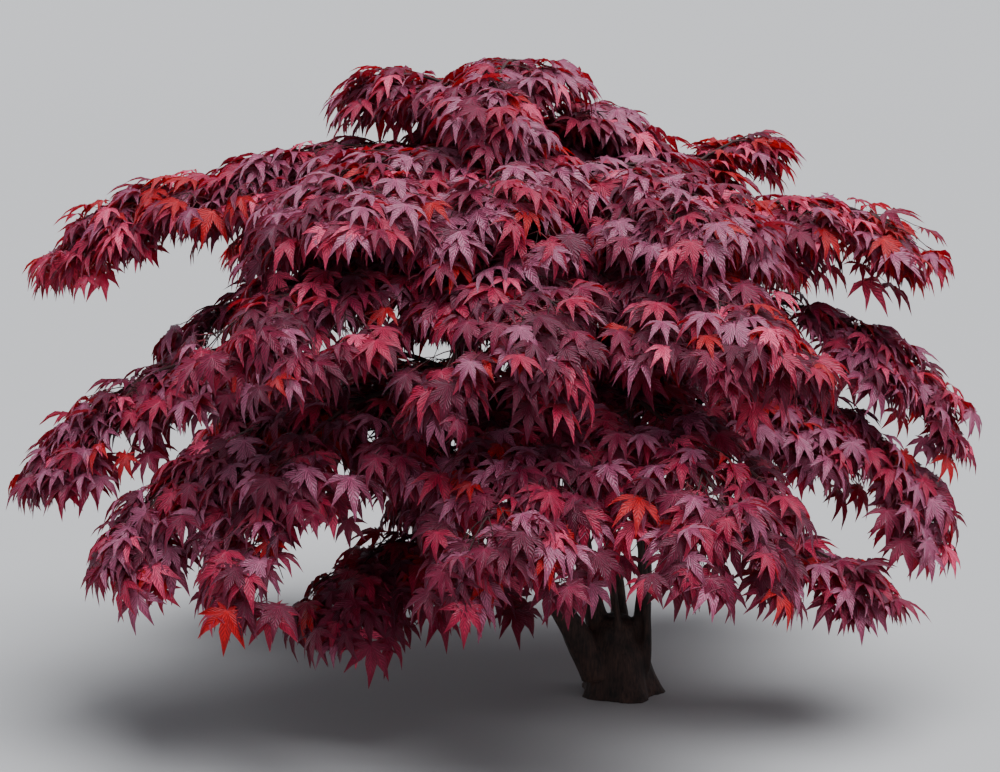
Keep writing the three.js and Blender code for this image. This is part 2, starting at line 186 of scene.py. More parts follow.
# The finer twigs that grow in pairs on shoots, side shoots and boughs, and the leaves on them.
FINE_STEP = 32
FINE_OFFSET = 0.5
FINE_LENGTH = (45, 90)
FINE_LENGTH_TAPER = (1.1, 0.75)
FINE_ANGLE = (38, 66)
FINE_PITCH_SHARE = 0.6
FINE_RISE = 4
FINE_RISE_SPREAD = 30
FINE_DROOP = 28
FINE_DROOP_SPREAD = 20
FINE_LEAVES = [(0.5, -62), (0.5, 62), (1, -38), (1, 38)]
LEAF_REACH = (46, 71)
STALK_LENGTH = (22, 42)
LEAF_KINDS = 8
LEAF_FALL_TOP = -12
LEAF_FALL_LOW = -34
OUTWARD_PULL = 1.2
CROWNING_PITCH = 60
CROWNING_STEP = 45
FIRST_ON_SHOOT = 0.1
FIRST_ON_SIDE_SHOOT = 0.18
FIRST_ON_INNER_SHOOT = 0.2
LAST_ON_SHOOT = 0.94
TIP_LEAF_TURNS = (-40, 0, 40)

# The leaf: seven pointed lobes. Each is (degrees from the middle one, share of the reach).
LOBES = [(-124, 0.4), (-80, 0.74), (-39, 0.94), (0, 1.0), (39, 0.94), (80, 0.74), (124, 0.4)]
NOTCH = 0.33
LOBE_WIDTH = 0.148
LOBE_WIDTH_NEAR_TIP = 0.07
WIDEST_IN_LOBE = 0.5
SLIM_IN_LOBE = 0.76
RIB_LOW = 0.42
RIB_HIGH = 0.72
SMALL_LOBE = 0.5
LEAF_BASE_TURN = 34
LEAF_BASE_REACH = 0.1
LEAF_DROOP = (0.25, 0.55)
LEAF_FOLD = (0.03, 0.09)
LOBE_TURN_SPREAD = 10
LOBE_REACH_SPREAD = 0.14
LOBE_TWIST_SPREAD = 0.06
LOBE_TIP_DROP = 0.05
NOTCH_LIFT = 0.4
RIB_DIP = 0.3
SLIM_LIFT = 0.7
TIP_SHADE = 0.5

# How a leaf's stalk and blade follow the pitch of what bears them, and their spreads in degrees.
STALK_PITCH_SHARE = 0.4
STALK_CLIMB = 10
STALK_CLIMB_SPREAD = 32
STALK_TURN_SPREAD = 30
STALK_DROOP = (34, 54)
BLADE_PITCH_SHARE = 0.3
BLADE_TURN_SPREAD = 44
BLADE_FALL_SPREAD = 34
BLADE_ROLL_SPREAD = 40

# How far, in millimetres, a leaf may stand out of the solids' box, and how near it may come to the ground.
PAST_LOW_END = 12
PAST_HIGH_END = 8
ABOVE_GROUND = 20

# Sprays that are deep, and how far twigs hang under them.
HANGING = {
    "upper_right_far": 85,
    "upper_left_far": 65,
    "middle_right": 46,
    "lower_right_far": 105,
    "lower_left": 26,
    "lower_left_far": 62,
    "middle_left": 92,
    "top_left": 60,
    "upper_right_spike": 45,
    "middle_front_left": 70,
    "middle_front": 110,
    "middle_front_right": 100,
}
HANGING_TAPER = (1.7, 0.3)
HANGING_LENGTH_SPREAD = 0.4
HANGING_TURN_SPREAD = 120
HANGING_PITCH = -50
HANGING_PITCH_SPREAD = 20
HANGING_DROOP = 24
HANGING_LEAF_SHARES = (0.4, 0.7, 1)
HANGING_LEAF_TURNS = (-58, 58)
HANGING_LEAF_PITCH_SHARE = 0.5
# Sprays whose leaves lie flat along the shoot.
FLAT = {"lower_right", "upper_right_spike"}
FLAT_SHARE = 0.3
FLAT_TWIGS = 0.6

# The short shoots that clothe the boughs and the upper stems.
INNER_STEP = 92
INNER_ANGLE = (48, 84)
INNER_LENGTH = (120, 190)
INNER_OFFSET = 0.6
INNER_PITCH_SHARE = 0.3
INNER_RISE_SPREAD = 30
INNER_DROOP = 46
LAST_INNER = 0.96
BOUGH_SHOOTS_FROM = 0.32
STEM_SHOOTS_FROM = 0.5

# How each kind of twig is drawn: its radii at foot and tip, the points along it and the sides round it.
SHOOT_TUBE = ((4.6, 1.4), 12, 6)
SIDE_SHOOT_TUBE = ((2.3, 1.1), 7, 5)
INNER_SHOOT_TUBE = ((2.2, 1.1), 5, 4)
FINE_TWIG_TUBE = ((1.4, 0.8), 4, 3)
STALK_TUBE = ((1.0, 0.6), 2, 3)

# The leaf colours, by their places in the list of leaf materials, and how they are dealt out. A young leaf
# is red or rose, and of the others these shares are crimson, or crimson or wine. The rest is plum, whose pale
# mauve is partly the leaf's own purple and partly a painted sheen, or maroon.
PAINTED_SHEEN_PLUM_LEAF, MAROON_LEAF, WINE_LEAF, CRIMSON_LEAF, ROSE_LEAF, RED_LEAF = range(6)
RED_AMONG_YOUNG = 0.5
CRIMSON_SHARE = 0.18
CRIMSON_OR_WINE_SHARE = 0.45
YOUNG_ELSEWHERE = 0.08
YOUNG = {"upper_left_far": 0.3, "upper_right_far": 0.3, "upper_right_spike": 0.4, "middle_front_right": 0.14}
# The share of pale plum, by tier, and where a spray differs from its tier. This is painted light: many pale
# # leaves where light falls on the top and upper tiers, and more maroon as painted shade in the middle and
# below.
PLUM_BY_TIER_AS_PAINTED_LIGHT = {"top": 0.85, "upper": 0.8, "middle": 0.22, "lower": 0.4, "skirt": 0.2}
PLUM_BY_SPRAY_AS_PAINTED_LIGHT = {
    "middle_right": 0.9,
    "middle_left": 0.75,
    "middle_back": 0.6,
    "lower_left_far": 0.8,
    "lower_left": 0.75,
    "lower_right_far": 0.9,
    "lower_right": 0.7,
}
# The sprays with bearings between these two belong to the left side.
LEFT_SIDE = (90, 262)

# On a leaf, "shade" goes from 0 on a rib to 1 at the edge. The ribs are pale from the first of these values
# down, and fade by the second. Each lobe has side veins that slant towards its tip.
RIB_SHADES = (0.03, 0.2)
RIB_PALENESS = 0.55
VEINS = 8
VEIN_SLANT = 0.3
VEIN_DEPTH = 0.42
LIGHT_THROUGH_LEAF = 0.24
# The ends of a blade's mottling, as shares of its colour.
BLADE_DARK = 0.48
BLADE_PALE = 2.1

# Seeds of the random streams: leaf shapes, and for each spray its leaves and what grows on its limb.
LEAF_SEED = 77
SPRAY_SEED = 1000
LIMB_SEED = 2000

# The floor, in metres: flat under the tree and rising at its far rim, like a studio sweep.
FLOOR_FLAT = 25
FLOOR_RIM = 60
FLOOR_RISE = 15
FLOOR_SIDES = 96
FLOOR_RINGS = 14

# Places in the picture, in pixels, where the ground shows through the crown: centre and half sizes.
SKY_GAPS = [
    (345, 331, 12, 3),
    (424, 354, 12, 6),
    (394, 316, 5, 2),
    (506, 368, 2, 7),
    (508, 400, 4, 2),
    (594, 330, 4, 5),
    (645, 420, 5, 3),
    (646, 462, 3, 3),
    (561, 481, 2, 4),
    (370, 436, 3, 7),
    (454, 446, 3, 6),
    (341, 471, 3, 6),
    (682, 377, 3, 2),
    (711, 401, 3, 3),
    (250, 440, 3, 2),
    (730, 455, 3, 3),
    (600, 270, 3, 2),
    (790, 310, 4, 3),
    (530, 225, 8, 2),
    (314, 558, 10, 18),
    (925, 246, 6, 4),
    (44, 244, 14, 5),
    (640, 548, 5, 8),
    (735, 564, 5, 5),
    (212, 342, 6, 5),
    (250, 535, 5, 4),
    (297, 590, 8, 9),
    (184, 532, 3, 3),
    (156, 501, 3, 3),
    (208, 420, 3, 3),
    (277, 508, 3, 3),
    (668, 483, 3, 2),
    (709, 482, 3, 3),
    (497, 499, 3, 3),
    (485, 343, 5, 4),
    (318, 346, 4, 4),
    (392, 304, 5, 3),
    (226, 335, 4, 3),
    (118, 446, 6, 5),
    (918, 424, 5, 5),
    (805, 334, 4, 4),
    (474, 532, 3, 6),
    (440, 357, 7, 4),
]


def seeded(seed):
    """A repeatable stream of numbers from 0 to 1."""
    state = seed
    while True:
        state = (state * 1664525 + 1013904223) & 0xFFFFFFFF
        yield state / 2**32


def about(random, spread):
    """The next number of a stream, spread evenly about zero over `spread` in all."""
    return spread * (next(random) - 0.5)


def between(random, low_high):
    """The next number of a stream, between two ends."""
    return low_high[0] + (low_high[1] - low_high[0]) * next(random)


def lerp(a, b, t):
    return a + (b - a) * t


def unit(v):
    return v / np.linalg.norm(v)


def aim(bearing, pitch):
    """The unit vector that points towards a bearing, `pitch` degrees above level."""
    b, p = math.radians(bearing), math.radians(pitch)
    return np.array([math.cos(b) * math.cos(p), math.sin(b) * math.cos(p), math.sin(p)])


class Arch:
    """A twig's line: it sets off at `rise` and bends evenly down, by `droop` in all."""

    def __init__(self, start, bearing, rise, droop, length):
        self.start, self.bearing, self.rise, self.droop, self.length = start, bearing, rise, droop, length

    def pitch_at(self, t):
        return self.rise - self.droop * t

    def point(self, t):
        rise, pitch = math.radians(self.rise), math.radians(self.pitch_at(t))
        radius = self.length / math.radians(self.droop)
        ahead = aim(self.bearing, 0) * radius * (math.sin(rise) - math.sin(pitch))
        return self.start + ahead + np.array([0, 0, radius * (math.cos(pitch) - math.cos(rise))])

    def points(self, count):
        return np.array([self.point(t) for t in np.linspace(0, 1, count)])


class Limb:
    """A smooth limb between two points with a direction at each end, by share of its length."""

    def __init__(self, foot, set_off, tip, arrive):
        span = np.linalg.norm(tip - foot)
        corners = [foot, foot + set_off * SET_OFF_HANDLE * span, tip - arrive * ARRIVAL_HANDLE * span, tip]
        t = np.linspace(0, 1, LIMB_STEPS + 1)[:, None]
        weights = [(1 - t) ** 3, 3 * (1 - t) ** 2 * t, 3 * (1 - t) * t**2, t**3]
        self.line = sum(w * c for w, c in zip(weights, corners))
        steps = np.linalg.norm(np.diff(self.line, axis=0), axis=1)
        self.length = steps.sum()
        self.share = np.concatenate([[0], np.cumsum(steps)]) / self.length

    def point(self, t):
        return np.array([np.interp(t, self.share, self.line[:, k]) for k in range(3)])

    def tangent(self, t):
        return unit(self.point(min(1, t + TANGENT_REACH)) - self.point(max(0, t - TANGENT_REACH)))

    def points(self, count):
        return np.array([self.point(t) for t in np.linspace(0, 1, count)])


def shoot_of(spray):
    start = aim(spray["bearing"], 0) * spray["out"] + np.array([CROWN_AXIS_X, 0, spray["height"]])
    bearing = spray["bearing"] + spray["turn"]
    return Arch(start, bearing, spray["rise"], spray["droop"], spray["length"])


def limb_to(foot, set_off, spray):
    """A limb that ends where a spray's shoot starts, in line with it."""
    shoot = shoot_of(spray)
    arrive = unit(shoot.point(1 / 3) - shoot.start)
    return Limb(foot, set_off, shoot.start, arrive)


def stem_limb(name, foot, bearing, lean):
    spray = next(each for each in SPRAYS if each["stem"] == name and each["at"] == 1)
    return limb_to(np.array([*foot, TRUNK_HEIGHT - STEM_SINK], float), aim(bearing, 90 - lean), spray)


def bough_limb(stem, spray):
    foot = stem.point(spray["at"])
    along = stem.tangent(spray["at"])
    outward = unit(shoot_of(spray).start - foot)
    across = unit(np.cross(along, outward))
    turn = math.radians(BOUGH_FORK_ANGLE)
    set_off = along * math.cos(turn) + np.cross(across, along) * math.sin(turn)
    return limb_to(foot, set_off, spray)


def spread_at(t):
    """How far the side shoots reach at a share of a spray's shoot, as a share of its width."""
    return math.sqrt(max(0, 1 - ((t - WIDEST_AT) / WIDTH_FALLS_OVER) ** 2))


def side_shoots(spray, shoot, random):
    """The side shoots of a spray, in pairs along its shoot, with seeded differences."""
    sides = []
    pairs = max(FEWEST_PAIRS, math.floor((LAST_PAIR - FIRST_PAIR) * spray["length"] / PAIR_STEP + 0.5) + 1)
    for pair in range(pairs):
        for side in (-1, 1):
            step = (pair + PAIR_OFFSET * next(random)) / (pairs - 1 + PAIR_OFFSET)
            t = lerp(FIRST_PAIR, LAST_PAIR, step)
            turn = lerp(SIDE_ANGLE_AT_FOOT, SIDE_ANGLE_AT_TIP, t) + about(random, SIDE_ANGLE_SPREAD)
            rise = shoot.pitch_at(t) * SIDE_PITCH_SHARE + SIDE_RISE + about(random, SIDE_RISE_SPREAD)
            droop = SIDE_DROOP + about(random, SIDE_DROOP_SPREAD)
            length = spray["width"] * spread_at(t) * (1 + about(random, SIDE_LENGTH_SPREAD))
            sides.append(Arch(shoot.point(t), shoot.bearing + side * turn, rise, droop, length))
    return sides


class Pile:
    """Many small shapes gathered into one mesh: corners, faces and a material number for each face."""

    def __init__(self):
        self.corners, self.faces, self.kinds, self.shades, self.reaches = [], [], [], [], []
        self.count = 0

    def add(self, corners, faces, kind=0, shades=None, reaches=None):
        self.corners.append(corners)
        self.faces.append(np.asarray(faces) + self.count)
        self.kinds.append(np.full(len(faces), kind))
        self.shades.append(np.zeros(len(corners)) if shades is None else shades)
        self.reaches.append(np.zeros(len(corners)) if reaches is None else reaches)
        self.count += len(corners)

    def piece(self, name, materials):
        corners = np.concatenate(self.corners) * MM
        faces = np.concatenate(self.faces)
        mesh = bpy.data.meshes.new(name)
        mesh.vertices.add(len(corners))
        mesh.vertices.foreach_set("co", corners.ravel())
        size = faces.shape[1]
        mesh.loops.add(faces.size)
        mesh.loops.foreach_set("vertex_index", faces.ravel())
        mesh.polygons.add(len(faces))
        mesh.polygons.foreach_set("loop_start", np.arange(0, faces.size, size))
        mesh.polygons.foreach_set("material_index", np.concatenate(self.kinds))
        mesh.polygons.foreach_set("use_smooth", np.full(len(faces), True))
        for field, values in (("shade", self.shades), ("reach", self.reaches)):
            attribute = mesh.attributes.new(field, "FLOAT", "POINT")
            attribute.data.foreach_set("value", np.concatenate(values))
        for material in materials:
            mesh.materials.append(material)
        mesh.update()
        mesh.validate()
        piece = bpy.data.objects.new(name, mesh)
        bpy.context.scene.collection.objects.link(piece)
        return piece


def tube(points, radii, sides):
    """A tube of quads round a line of points, open at its ends."""
    count = len(points)
    tangents = np.gradient(points, axis=0)
    tangents /= np.linalg.norm(tangents, axis=1)[:, None]
    across = np.cross(tangents[0], [0.0, 0.0, 1.0])
    if np.linalg.norm(across) < NEARLY_UPRIGHT:
        across = np.array([1.0, 0.0, 0.0])
    turns = np.linspace(0, 2 * math.pi, sides, endpoint=False)
    corners = np.empty((count, sides, 3))
    for i in range(count):
        across = unit(across - tangents[i] * across.dot(tangents[i]))
        other = np.cross(tangents[i], across)
        ring = np.cos(turns)[:, None] * across + np.sin(turns)[:, None] * other
        corners[i] = points[i] + ring * radii[i]
    start = np.arange(count - 1)[:, None] * sides
    here, beside = np.arange(sides), (np.arange(sides) + 1) % sides
    faces = np.stack(
        [start + here, start + beside, start + sides + beside, start + sides + here], axis=-1
    ).reshape(-1, 4)
    return corners.reshape(-1, 3), faces


def thinning_tube(arch, radii, points, sides):
    """The tube of a twig that thins from its foot to its tip."""
    return tube(arch.points(points), np.linspace(*radii, points), sides)


def trunk_shell():
    """The corners and faces of the trunk's wall, from below the ground to a dome between the stems."""
    corners = []
    for ring in range(TRUNK_RINGS + DOME_RINGS):
        height = lerp(-TRUNK_BELOW, TRUNK_HEIGHT, min(1, ring / TRUNK_RINGS))
        share = max(0, height / TRUNK_HEIGHT)
        flare = math.exp(-height / FLARE_HEIGHT)
        above = max(0, (share - TRUNK_SHOULDER) / (1 - TRUNK_SHOULDER))
        past_top = max(0, ring - TRUNK_RINGS) / DOME_RINGS
        rounding = (1 - (1 - TRUNK_TOP_SHARE) * above * above) * math.sqrt(1 - past_top * past_top)
        top = height + TRUNK_DOME * past_top
        for side in range(TRUNK_SIDES):
            turn = 2 * math.pi * side / TRUNK_SIDES
            ribs = 1 + BUTTRESS_DEPTH * flare * math.cos(BUTTRESSES * turn)
            radius = lerp(TRUNK_WAIST_RADIUS, TRUNK_FOOT_RADIUS, flare) * ribs * rounding
            corners.append((radius * math.cos(turn) - TRUNK_LEAN * share, -radius * math.sin(turn), top))
    faces = []
    for ring in range(TRUNK_RINGS + DOME_RINGS - 1):
        for side in range(TRUNK_SIDES):
            a, b = ring * TRUNK_SIDES + side, ring * TRUNK_SIDES + (side + 1) % TRUNK_SIDES
            faces.append((a, a + TRUNK_SIDES, b + TRUNK_SIDES, b))
    return np.array(corners), faces


# The skeleton, from the same rule as the solids.
stems = {}
for name, foot, bearing, lean, radius in STEMS:
    stems[name] = (stem_limb(name, foot, bearing, lean), radius)
boughs = {}
for spray in SPRAYS:
    if spray["at"] < 1:
        limb, radius = stems[spray["stem"]]
        foot_radius = BOUGH_BASE_SHARE * lerp(radius, STEM_TIP_RADIUS, spray["at"])
        boughs[spray["name"]] = (bough_limb(limb, spray), foot_radius)


def srgb(red, green, blue):
    """A colour as a painter names it, from 0 to 255 each, in the renderer's own scale."""
    channels = [c / 255 for c in (red, green, blue)]
    return tuple(c / 12.92 if c <= 0.04045 else ((c + 0.055) / 1.055) ** 2.4 for c in channels) + (1,)


def new_material(name):
    material = bpy.data.materials.new(name)
    material.use_nodes = True
    nodes, links = material.node_tree.nodes, material.node_tree.links
    return material, nodes, links, nodes["Principled BSDF"]


def add_node(nodes, kind, sockets=None, **settings):
    """A new node with its settings, and with values on its input sockets."""
    node = nodes.new(kind)
    for name, value in settings.items():
        setattr(node, name, value)
    for socket, value in (sockets or {}).items():
        node.inputs[socket].default_value = value
    return node


def link_all(links, pairs):
    for source, target in pairs:
        links.new(source, target)


def tinted(colour, share):
    return tuple(c * share for c in colour[:3]) + (1,)


def leaf_material(name, colour, glow, gloss=1):
    """A leaf: mottled blade with pale ribs and side veins, a soft sheen, and light that comes through it."""
    material, nodes, links, shader = new_material(name)
    shade = add_node(nodes, "ShaderNodeAttribute", attribute_name="shade")
    reach = add_node(nodes, "ShaderNodeAttribute", attribute_name="reach")
    rib_range = {"From Min": RIB_SHADES[0], "From Max": RIB_SHADES[1], "To Min": 1, "To Max": 0}
    ribs = add_node(nodes, "ShaderNodeMapRange", rib_range)
    slant = add_node(nodes, "ShaderNodeMath", {1: -VEIN_SLANT}, operation="MULTIPLY_ADD")
    veins = add_node(nodes, "ShaderNodeMath", {1: 2 * math.pi * VEINS}, operation="MULTIPLY")
    waves = add_node(nodes, "ShaderNodeMath", operation="SINE")
    veined = add_node(nodes, "ShaderNodeMath", {1: VEIN_DEPTH}, operation="MULTIPLY_ADD")
    amount = add_node(nodes, "ShaderNodeMath", {1: RIB_PALENESS}, operation="MULTIPLY_ADD")
    place = add_node(nodes, "ShaderNodeTexCoord")
    mottle = add_node(nodes, "ShaderNodeTexNoise", {"Scale": 240, "Detail": 3})
    ends = {"A": tinted(colour, BLADE_DARK), "B": tinted(colour, BLADE_PALE)}
    blade = add_node(nodes, "ShaderNodeMix", ends, data_type="RGBA")
    bump = add_node(nodes, "ShaderNodeBump", {"Strength": 1.0, "Distance": 0.001})
    through = add_node(nodes, "ShaderNodeBsdfTranslucent", {"Color": glow})
    both = add_node(nodes, "ShaderNodeMixShader", {"Fac": LIGHT_THROUGH_LEAF})
    link_all(links, [
        (shade.outputs["Fac"], slant.inputs[0]),
        (reach.outputs["Fac"], slant.inputs[2]),
        (slant.outputs["Value"], veins.inputs[0]),
        (veins.outputs["Value"], waves.inputs[0]),
        (waves.outputs["Value"], veined.inputs[0]),
        (place.outputs["Object"], mottle.inputs["Vector"]),
        (mottle.outputs["Fac"], veined.inputs[2]),
        (shade.outputs["Fac"], ribs.inputs["Value"]),
        (ribs.outputs["Result"], amount.inputs[0]),
        (veined.outputs["Value"], amount.inputs[2]),
        (amount.outputs["Value"], blade.inputs["Factor"]),
        (veined.outputs["Value"], bump.inputs["Height"]),
        (bump.outputs["Normal"], shader.inputs["Normal"]),
        (blade.outputs["Result"], shader.inputs["Base Color"]),
        (shader.outputs["BSDF"], both.inputs[1]),
        (through.outputs["BSDF"], both.inputs[2]),
        (both.outputs["Shader"], nodes["Material Output"].inputs["Surface"]),
    ])
    shader.inputs["Roughness"].default_value = 0.42
    shader.inputs["Specular IOR Level"].default_value = gloss
    shader.inputs["Specular Tint"].default_value = (1.0, 0.77, 0.89, 1)
    shader.inputs["Sheen Weight"].default_value = 0.14
    shader.inputs["Sheen Roughness"].default_value = 0.4
    shader.inputs["Sheen Tint"].default_value = (0.75, 0.62, 0.85, 1)
    return material


def bark_material(name, light, dark, grain):
    """Bark: fine streaks along the limb and soft blotches."""
    material, nodes, links, shader = new_material(name)
    place = add_node(nodes, "ShaderNodeTexCoord")
    stretch = add_node(nodes, "ShaderNodeMapping", {"Scale": (1, 1, 0.16)})
    streaks = add_node(nodes, "ShaderNodeTexNoise", {"Scale": grain, "Detail": 6})
    blotches = add_node(nodes, "ShaderNodeTexNoise", {"Scale": 24, "Detail": 4})
    both = add_node(nodes, "ShaderNodeMath", operation="MULTIPLY")
    ramp = add_node(nodes, "ShaderNodeValToRGB")
    for stop, (position, colour) in zip(ramp.color_ramp.elements, ((0.14, dark), (0.42, light))):
        stop.position = position
        stop.color = colour
    bump = add_node(nodes, "ShaderNodeBump", {"Strength": 0.16, "Distance": 0.002})
    link_all(links, [
        (place.outputs["Object"], stretch.inputs["Vector"]),
        (stretch.outputs["Vector"], streaks.inputs["Vector"]),
        (place.outputs["Object"], blotches.inputs["Vector"]),
        (streaks.outputs["Fac"], both.inputs[0]),
        (blotches.outputs["Fac"], both.inputs[1]),
        (both.outputs["Value"], ramp.inputs["Fac"]),
        (ramp.outputs["Color"], shader.inputs["Base Color"]),
        (streaks.outputs["Fac"], bump.inputs["Height"]),
        (bump.outputs["Normal"], shader.inputs["Normal"]),
    ])
    shader.inputs["Roughness"].default_value = 0.85
    return material


BARK = bark_material("bark", srgb(68, 44, 36), srgb(16, 8, 6), 260)
TWIG = bark_material("twig_bark", srgb(70, 32, 32), srgb(30, 12, 14), 420)
STALK = bark_material("leaf_stalk", srgb(122, 30, 42), srgb(66, 16, 26), 500)
LEAVES = [
    # The plum leaf's pale mauve is partly its own purple and partly a painted sheen, the sky's reflection put
    # into its colour.
    leaf_material("leaf_plum_with_painted_sheen", srgb(119, 47, 75), srgb(155, 10, 22)),
    leaf_material("leaf_maroon", srgb(68, 3, 27), srgb(155, 8, 20), 0.4),
    leaf_material("leaf_wine", srgb(92, 6, 37), srgb(180, 10, 22), 0.45),
    leaf_material("leaf_crimson", srgb(127, 10, 44), srgb(205, 16, 26), 0.5),
    leaf_material("leaf_rose", srgb(180, 50, 84), srgb(220, 40, 46), 0.8),
    leaf_material("leaf_red", srgb(138, 4, 10), srgb(210, 14, 10), 0.35),
]


def add_tube(skin, corners, faces, sides):
    """Adds a tube, in millimetres, to a mesh in the making, and closes its ends."""
    verts = [skin.verts.new(c * MM) for c in corners]
    for face in faces:
        skin.faces.new([verts[i] for i in face])
    skin.faces.new(verts[:sides])
    skin.faces.new(reversed(verts[-sides:]))


def raise_bark(mesh):
    """Ridges and knots on a skin, deepest near the ground."""
    count = len(mesh.vertices)
    place, normal = np.empty(count * 3), np.empty(count * 3)
    mesh.vertices.foreach_get("co", place)
    mesh.vertices.foreach_get("normal", normal)
    place, normal = place.reshape(-1, 3), normal.reshape(-1, 3)
    for i, (x, y, z) in enumerate(place):
        ridge, knot = (
            noise.noise(Vector((x * across, y * across, z * along)))
            for across, along in (RIDGE_GRAIN, KNOT_GRAIN)
        )
        low = max(0, 1 - z / ROUGH_BELOW)
        place[i] += normal[i] * MM * (ridge * lerp(*RIDGE_HEIGHT, low) + knot * lerp(*KNOT_HEIGHT, low))
    mesh.vertices.foreach_set("co", place.ravel())


def cut_at_ground(mesh):
    """Takes away what is below the ground and closes the cut."""
    cut = bmesh.new()
    cut.from_mesh(mesh)
    everything = cut.verts[:] + cut.edges[:] + cut.faces[:]
    bmesh.ops.bisect_plane(cut, geom=everything, plane_co=(0, 0, 0), plane_no=(0, 0, 1), clear_inner=True)
    bmesh.ops.holes_fill(cut, edges=[e for e in cut.edges if e.is_boundary])
    for face in cut.faces:
        face.smooth = True
    cut.to_mesh(mesh)
    cut.free()


def wood_piece():
    """Trunk and stems fused into one skin, with the bark's relief on it, and cut at the ground."""
    mesh = bpy.data.meshes.new("trunk_and_stems")
    skin = bmesh.new()
    add_tube(skin, *trunk_shell(), TRUNK_SIDES)
    for limb, radius in stems.values():
        count = int(limb.length / STEM_STEP)
        share = np.linspace(0, 1, count)
        swell = 1 + STEM_SWELL * np.exp(-share * limb.length / STEM_SWELL_FADES)
        stem = tube(limb.points(count), lerp(radius, STEM_TIP_RADIUS, share) * swell, STEM_SIDES)
        add_tube(skin, *stem, STEM_SIDES)
    bmesh.ops.recalc_face_normals(skin, faces=skin.faces)
    skin.to_mesh(mesh)
    skin.free()
    piece = bpy.data.objects.new("trunk_and_stems", mesh)
    bpy.context.scene.collection.objects.link(piece)
    remesh = piece.modifiers.new("skin", "REMESH")
    remesh.mode = "VOXEL"
    remesh.voxel_size = SKIN_VOXEL * MM
    smooth = piece.modifiers.new("soften", "SMOOTH")
    smooth.iterations = SKIN_SOFTENING
    shaped = bpy.data.meshes.new_from_object(piece.evaluated_get(bpy.context.evaluated_depsgraph_get()))
    piece.modifiers.clear()
    piece.data = shaped
    raise_bark(shaped)
    cut_at_ground(shaped)
    shaped.materials.clear()
    shaped.materials.append(BARK)
    return piece


def roughened(corners):
    """Points of a limb's skin, moved a little so that it is uneven."""
    moved = corners.copy()
    for i, corner in enumerate(corners):
        at = Vector(corner) * BOUGH_GRAIN
        moved[i] += np.array([noise.noise(at + Vector(aside)) for aside in NOISE_PLACES]) * BOUGH_RELIEF
    return moved


def bough_pile():
    pile = Pile()
    for limb, foot_radius in boughs.values():
        count = max(FEWEST_BOUGH_POINTS, int(limb.length / BOUGH_STEP))
        share = np.linspace(0, 1, count)
        swell = 1 + BOUGH_SWELL * np.exp(-share * limb.length / BOUGH_SWELL_FADES)
        radii = lerp(foot_radius, BOUGH_TIP_RADIUS, share) * swell
        line, faces = tube(limb.points(count), radii, BOUGH_SIDES)
        pile.add(roughened(line), faces)
    return pile


def leaf_shape(random):
    """One kind of leaf with its middle at the origin and its middle lobe along +X, one unit long.

    Each corner also has a shade, from 0 on a rib to 1 at the edge, and its share of the leaf's reach.
    """
    droop = between(random, LEAF_DROOP)
    fold = between(random, LEAF_FOLD)
    lobes = [
        (turn + about(random, LOBE_TURN_SPREAD), share * (1 + about(random, LOBE_REACH_SPREAD)))
        for turn, share in LOBES
    ]
    corners, shades, reaches, faces = [(0, 0, 0)], [0], [0], []

    def corner(turn, reach, aside, lift, shade):
        a = math.radians(turn)
        x, y = math.cos(a) * reach - math.sin(a) * aside, math.sin(a) * reach + math.cos(a) * aside
        corners.append((x, y, lift - droop * (x * x + y * y)))
        shades.append(shade)
        reaches.append(reach)
        return len(corners) - 1

    notches = [corner(lobes[0][0] - LEAF_BASE_TURN, LEAF_BASE_REACH, 0, 0, 1)]
    for (turn, share), (next_turn, next_share) in zip(lobes, lobes[1:]):
        notch_reach = NOTCH * (share + next_share) / 2
        notches.append(corner((turn + next_turn) / 2, notch_reach, 0, fold * NOTCH_LIFT, 1))
    notches.append(corner(lobes[-1][0] + LEAF_BASE_TURN, LEAF_BASE_REACH, 0, 0, 1))
    for index, (turn, share) in enumerate(lobes):
        twist = about(random, LOBE_TWIST_SPREAD)
        low = corner(turn, RIB_LOW * share, 0, -fold * RIB_DIP, 0)
        tip = corner(turn, share, twist, -LOBE_TIP_DROP, TIP_SHADE)
        before, after = notches[index], notches[index + 1]
        if share < SMALL_LOBE:
            faces += [(0, before, low), (before, tip, low), (low, after, 0), (low, tip, after)]
            continue
        high = corner(turn, RIB_HIGH * share, 0, -fold * RIB_DIP, 0)
        for side, notch in ((-1, before), (1, after)):
            width, width_near_tip = side * LOBE_WIDTH * share, side * LOBE_WIDTH_NEAR_TIP * share
            wide = corner(turn, WIDEST_IN_LOBE * share, width, fold + twist * side, 1)
            slim = corner(turn, SLIM_IN_LOBE * share, width_near_tip, fold * SLIM_LIFT + twist * side, 1)
            fan = [(0, low, notch), (notch, low, wide), (wide, low, high)]
            fan += [(wide, high, slim), (slim, high, tip)]
            faces += [face if side > 0 else face[::-1] for face in fan]
    return np.array(corners), np.array(faces), np.array(shades, float), np.array(reaches, float)


def turned(axis, roll):
    """A frame with its first side along `axis` and its third as near to up as a roll leaves it."""
    up = np.array(UP_FOR_UPRIGHT if abs(axis[2]) > UPRIGHT_AXIS else UP, float)
    up = unit(up - axis * up.dot(axis))
    side = np.cross(up, axis)
    up = up * math.cos(roll) + side * math.sin(roll)
    return np.stack([axis, np.cross(up, axis), up], axis=1)


def in_picture(points):
    """Where points, in millimetres, fall in the picture, in pixels."""
    x, y, z = (points * MM - np.array(CAMERA_PLACE)).T
    pitch = math.radians(CAMERA_PITCH)
    depth = y * math.cos(pitch) - z * math.sin(pitch)
    lift = y * math.sin(pitch) + z * math.cos(pitch)
    return PICTURE[0] / 2 + FOCAL_PIXELS * x / depth, PICTURE[1] / 2 - FOCAL_PIXELS * lift / depth


